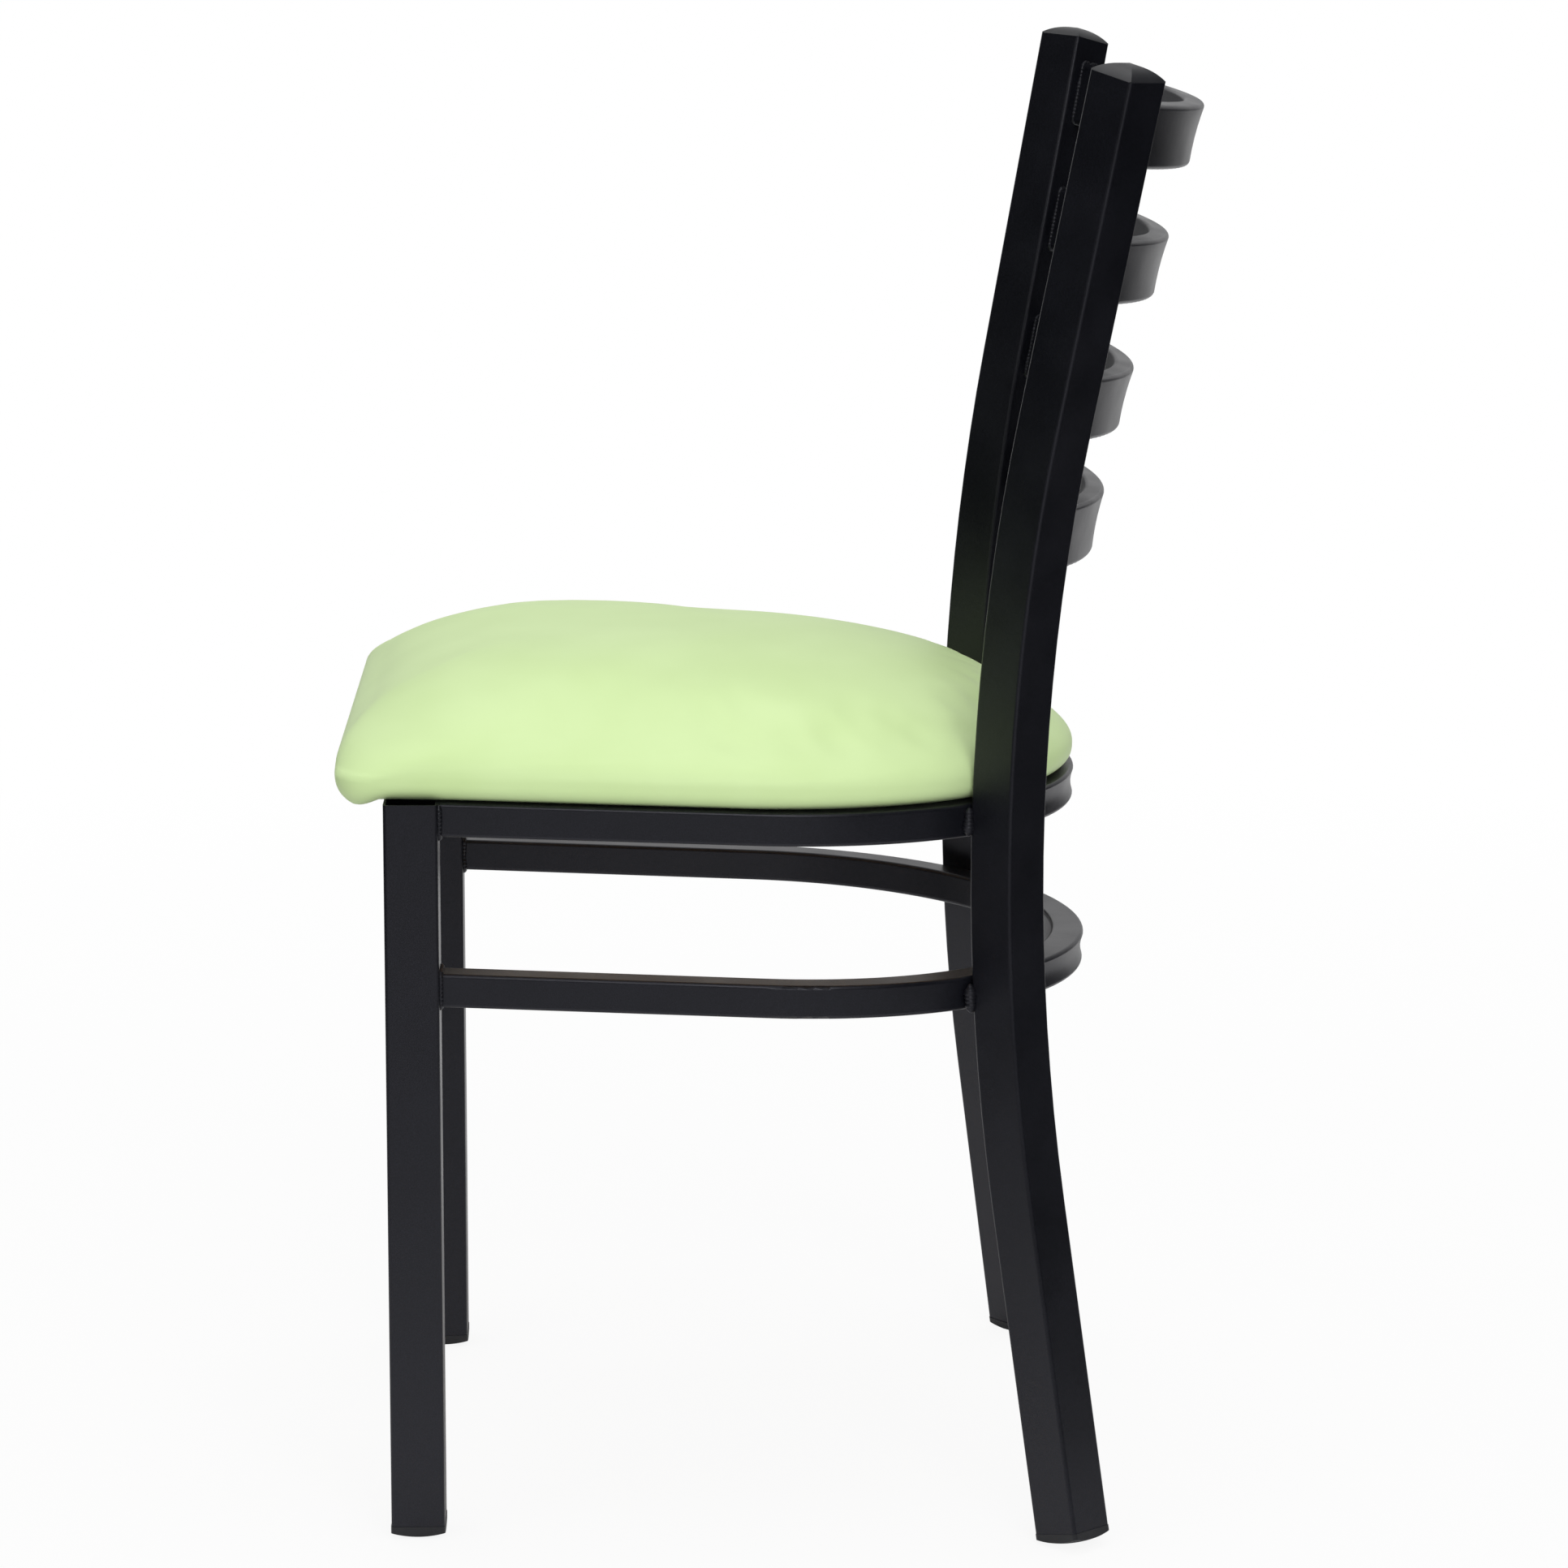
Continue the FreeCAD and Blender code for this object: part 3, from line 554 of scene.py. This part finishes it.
def pull_over(cushion, bag):
    """Draws the cushion onto the filled bag: not at all below 15 mm above the seat plane,
    wholly from 41 mm up, by a power of 1.5 between, and evens it out in the same shares."""
    upper = cushion.vertex_groups.new(name="upper")
    above = rises(corners_of(cushion.data))
    for step in range(1, 21):
        share = (step / 20) ** 1.5
        upper.add(np.flatnonzero(above > 13.5 + 1.4 * step).tolist(), share, "REPLACE")
    wrap = cushion.modifiers.new("over the filled form", "SHRINKWRAP")
    wrap.target = bag
    wrap.wrap_mode = "ABOVE_SURFACE"
    wrap.offset = 0.0006
    wrap.vertex_group = "upper"
    even = cushion.modifiers.new("taut", "SMOOTH")
    even.factor = 0.5
    even.iterations = 12
    even.vertex_group = "upper"
    bpy.context.view_layer.objects.active = cushion
    bpy.ops.object.modifier_apply(modifier=wrap.name)
    bpy.ops.object.modifier_apply(modifier=even.name)
    bpy.data.objects.remove(bag, do_unlink=True)


cushion = grid_mesh("seat_cushion", [pad_skin()])
pull_over(cushion, blown_form())
cushion.data.materials.append(upholstery_vinyl())
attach(cushion, "root")
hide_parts("seat_cover", "seat_foam")

# Staples: steel wire with a crown of 10 mm, shot through the hem into the board, along
# the inside of the seat frame and across the open front.

STAPLE_WIRE = 0.32          # radius
STAPLE_STEP = 0.0352        # from one to the next, as a share of half the outline


def staples():
    """Each staple is a bar along (-5, up) to (-5, 0) to (5, 0) to (5, up), turned to the
    outline with up to 4 degrees of play. None is shot round the front corners, where the
    hem lies over the legs."""
    chance = np.random.default_rng(7)
    along = np.array([-5, -5, -4.8, 0, 4.8, 5, 5])
    up = np.array([1.2, 0.25, 0, 0, 0, 0.25, 1.2])
    bars = []
    for turn in np.arange(-0.985, 1.0, STAPLE_STEP):
        ahead = abs(turn) < 0.2
        rear = np.clip((abs(turn) - 0.55) / 0.25, 0, 1)
        inset = 16.0 if ahead else 24.3 - 4.1 * rear
        x, y = pad_outline(np.array([turn - 0.002, turn + 0.002]), inset)
        if not ahead and y.mean() < 40:
            continue
        heading = math.atan2(y[1] - y[0], x[1] - x[0]) + math.radians(chance.uniform(-4, 4))
        hang = hang_below(y.mean()) if ahead else 0
        wire_x, wire_y = x.mean() + along * math.cos(heading), y.mean() + along * math.sin(heading)
        wire = np.stack([wire_x, wire_y, up - 0.12 - hang], -1)
        radii = [0.02] + [STAPLE_WIRE] * 5 + [0.02]
        bars.append(swept(on_seat_plane(wire), radii, (math.sin(heading), -math.cos(heading), 0.01)))
    return bars


seat_staples = grid_mesh("seat_staples", staples())
seat_staples.data.materials.append(zinc("galvanised staple wire", 0.3, 0.5))
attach(seat_staples, "root")

# Studio: a strip of white paper 2 m wide that runs along X under the chair, flat, in a dim room. Painted
# shade greys it between chair and camera. Behind the chair it glows to glossy rays, as a painted
# reflection of a sweep rising there. One soft lamp hangs near the camera, a large one overhead and a weak
# one on the other side, and all round the chair is white.

bpy.ops.mesh.primitive_circle_add(vertices=96, radius=30, fill_type="NGON")
floor = bpy.context.object
floor.name = "studio_floor"
floor.data.transform(Matrix.Translation((0, 0, -0.0002)))
paper, paper_tree, paper_shader = new_finish("white studio paper")
paper_shader.inputs["Roughness"].default_value = 0.9
paper_shader.inputs["Specular IOR Level"].default_value = 0.0
spot = node(paper_tree, "TexCoord").outputs["Object"]
spot_axes = node(paper_tree, "SeparateXYZ", {"Vector": spot}).outputs

# The strip: 1 on the paper and 0 past its edges, a little wider behind the chair, times a painted shade
# that greys the paper from 0.4 m to 2.3 m in front of the chair.
behind = node(paper_tree, "Math", {0: spot_axes["X"], 1: 0.0}, operation="MINIMUM").outputs["Value"]
side_way = node(paper_tree, "Math", {0: spot_axes["Y"]}, operation="ABSOLUTE").outputs["Value"]
aside = node(paper_tree, "Math", {
    0: behind, 1: 0.42, 2: side_way,
}, operation="MULTIPLY_ADD").outputs["Value"]
breadth = node(paper_tree, "MapRange", {
    "Value": aside, "From Min": 0.75, "From Max": 1.15, "To Min": 1.0, "To Max": 0.0,
}, interpolation_type="SMOOTHSTEP").outputs["Result"]
toward = node(paper_tree, "Math", {0: spot_axes["X"], 1: 3.0}, operation="DIVIDE").outputs["Value"]
# Painted shade: the white paper is greyed between chair and camera, down to about 0.4 of white, standing
# in for less light falling there.
painted_front_shade = ramp(
    paper_tree, toward, (0.13, "#ffffff"), (0.4, "#c0c0c0"), (0.62, "#a8a8a8"), (0.76, "#ffffff"),
)
strip_with_painted_shade = node(paper_tree, "Math", {0: breadth, 1: painted_front_shade}, operation="MULTIPLY").outputs["Value"]
paper_colour = ramp(paper_tree, strip_with_painted_shade, (0.0, "#1a1a1a"), (1.0, "#f2f2f2"))
paper_tree.links.new(paper_colour, paper_shader.inputs["Base Color"])

# The camera sees the paper glow: a mix of white and the lit paper, which keeps the soft shadow at the
# chair's feet. Glossy rays see the flat paper behind the chair glow, brighter further back. This is a
# painted reflection of a lit sweep rising there, and the frame's gloss shows it.
away = node(paper_tree, "VectorMath", {0: spot}, operation="LENGTH").outputs["Value"]
white = node(paper_tree, "MapRange", {
    "Value": away, "From Min": 0.5, "From Max": 2.2, "To Min": 0.9, "To Max": 1.0,
}).outputs["Result"]
# Painted reflection: the flat paper glows for glossy rays from 0.4 m behind the chair, rising to 0.9 of
# white by 1.6 m, in place of a lit sweep.
painted_sweep_rise = node(paper_tree, "MapRange", {
    "Value": spot_axes["X"], "From Min": -0.4, "From Max": -1.6, "To Min": 0.0, "To Max": 0.9,
}).outputs["Result"]
painted_sweep_glow = node(paper_tree, "Math", {0: painted_sweep_rise, 1: strip_with_painted_shade}, operation="MULTIPLY").outputs["Value"]
paper_rays = node(paper_tree, "LightPath").outputs
painted_reflection = node(paper_tree, "Math", {
    0: paper_rays["Is Glossy Ray"], 1: painted_sweep_glow,
}, operation="MULTIPLY").outputs["Value"]
seen = node(paper_tree, "Math", {
    0: paper_rays["Is Camera Ray"], 1: white, 2: painted_reflection,
}, operation="MULTIPLY_ADD").outputs["Value"]
glow = node(paper_tree, "Emission", {"Color": (1, 1, 1, 1), "Strength": 1.0})
lit = node(paper_tree, "MixShader", {
    0: seen, 1: paper_shader.outputs["BSDF"], 2: glow.outputs["Emission"],
})
paper_tree.links.new(lit.outputs["Shader"], paper_tree.nodes["Material Output"].inputs["Surface"])
floor.data.materials.append(paper)

# The room: white to the camera, a dim backdrop that brightens towards -X to the frame's
# gloss, and to all else a soft light that is fuller from the camera's side and from below.
world = bpy.context.scene.world or bpy.data.worlds.new("studio")
bpy.context.scene.world = world
world.use_nodes = True
room = world.node_tree
room_rays = node(room, "LightPath").outputs
direction = node(room, "SeparateXYZ", {"Vector": node(room, "TexCoord").outputs["Generated"]}).outputs
backdrop = node(room, "MapRange", {
    "Value": direction["X"], "From Min": -0.35, "From Max": -1.0, "To Min": 0.01, "To Max": 0.85,
}).outputs["Result"]
low_front = node(room, "Math", {
    0: direction["Z"], 1: -0.7, 2: direction["X"],
}, operation="MULTIPLY_ADD").outputs["Value"]
bounce = node(room, "MapRange", {
    "Value": low_front, "From Min": 0.0, "From Max": 1.0, "To Min": 0.46, "To Max": 1.45,
}).outputs["Result"]
unseen = node(room, "Mix", {
    0: room_rays["Is Glossy Ray"], 2: bounce, 3: backdrop,
}, data_type="FLOAT").outputs[0]
strength = node(room, "Mix", {
    0: room_rays["Is Camera Ray"], 2: unseen, 3: 1.0,
}, data_type="FLOAT").outputs[0]
room.links.new(strength, room.nodes["Background"].inputs["Strength"])
room.nodes["Background"].inputs["Color"].default_value = (1, 1, 1, 1)


def soft_lamp(name, place, aim, size, power):
    """Rectangular lamp of a size in metres and a power in watts, turned to face its aim."""
    lamp = bpy.data.lights.new(name, "AREA")
    lamp.shape = "RECTANGLE"
    lamp.size, lamp.size_y = size
    lamp.energy = power
    holder = bpy.data.objects.new(name, lamp)
    bpy.context.scene.collection.objects.link(holder)
    holder.location = place
    holder.rotation_euler = (Vector(aim) - Vector(place)).to_track_quat("-Z", "Y").to_euler()


soft_lamp("key", (2.8, 0.55, 2.4), (0, 0, 0.5), (1.5, 1.5), 34)
soft_lamp("overhead", (-0.3, 0.0, 3.2), (0, 0, 0.3), (2.6, 2.6), 32)
soft_lamp("left_fill", (2.2, -2.6, 1.6), (0, 0, 0.4), (1.6, 1.6), 5.5)

# Camera: a long lens about 3 m off the chair's left side and 1.05 m above the floor. It
# looks a little down, and a little to the rear from just ahead of the chair's middle.

EYE = (3188.3, 158.57 + LEG_FACE, 1049.44)
YAW, PITCH, ROLL = -0.0248, 0.1957, 0.0027
lens = bpy.data.cameras.new("side_view")
lens.sensor_width = 36
lens.lens = 120.44
camera = bpy.data.objects.new("side_view", lens)
bpy.context.scene.collection.objects.link(camera)
camera.matrix_world = (
    Matrix.Translation(Vector(EYE) * MM)
    @ Matrix.Rotation(math.pi / 2 + YAW, 4, "Z")
    @ Matrix.Rotation(math.pi / 2 - PITCH, 4, "X")
    @ Matrix.Rotation(ROLL, 4, "Z")
)
bpy.context.scene.camera = camera
bpy.context.scene.view_settings.view_transform = "Standard"
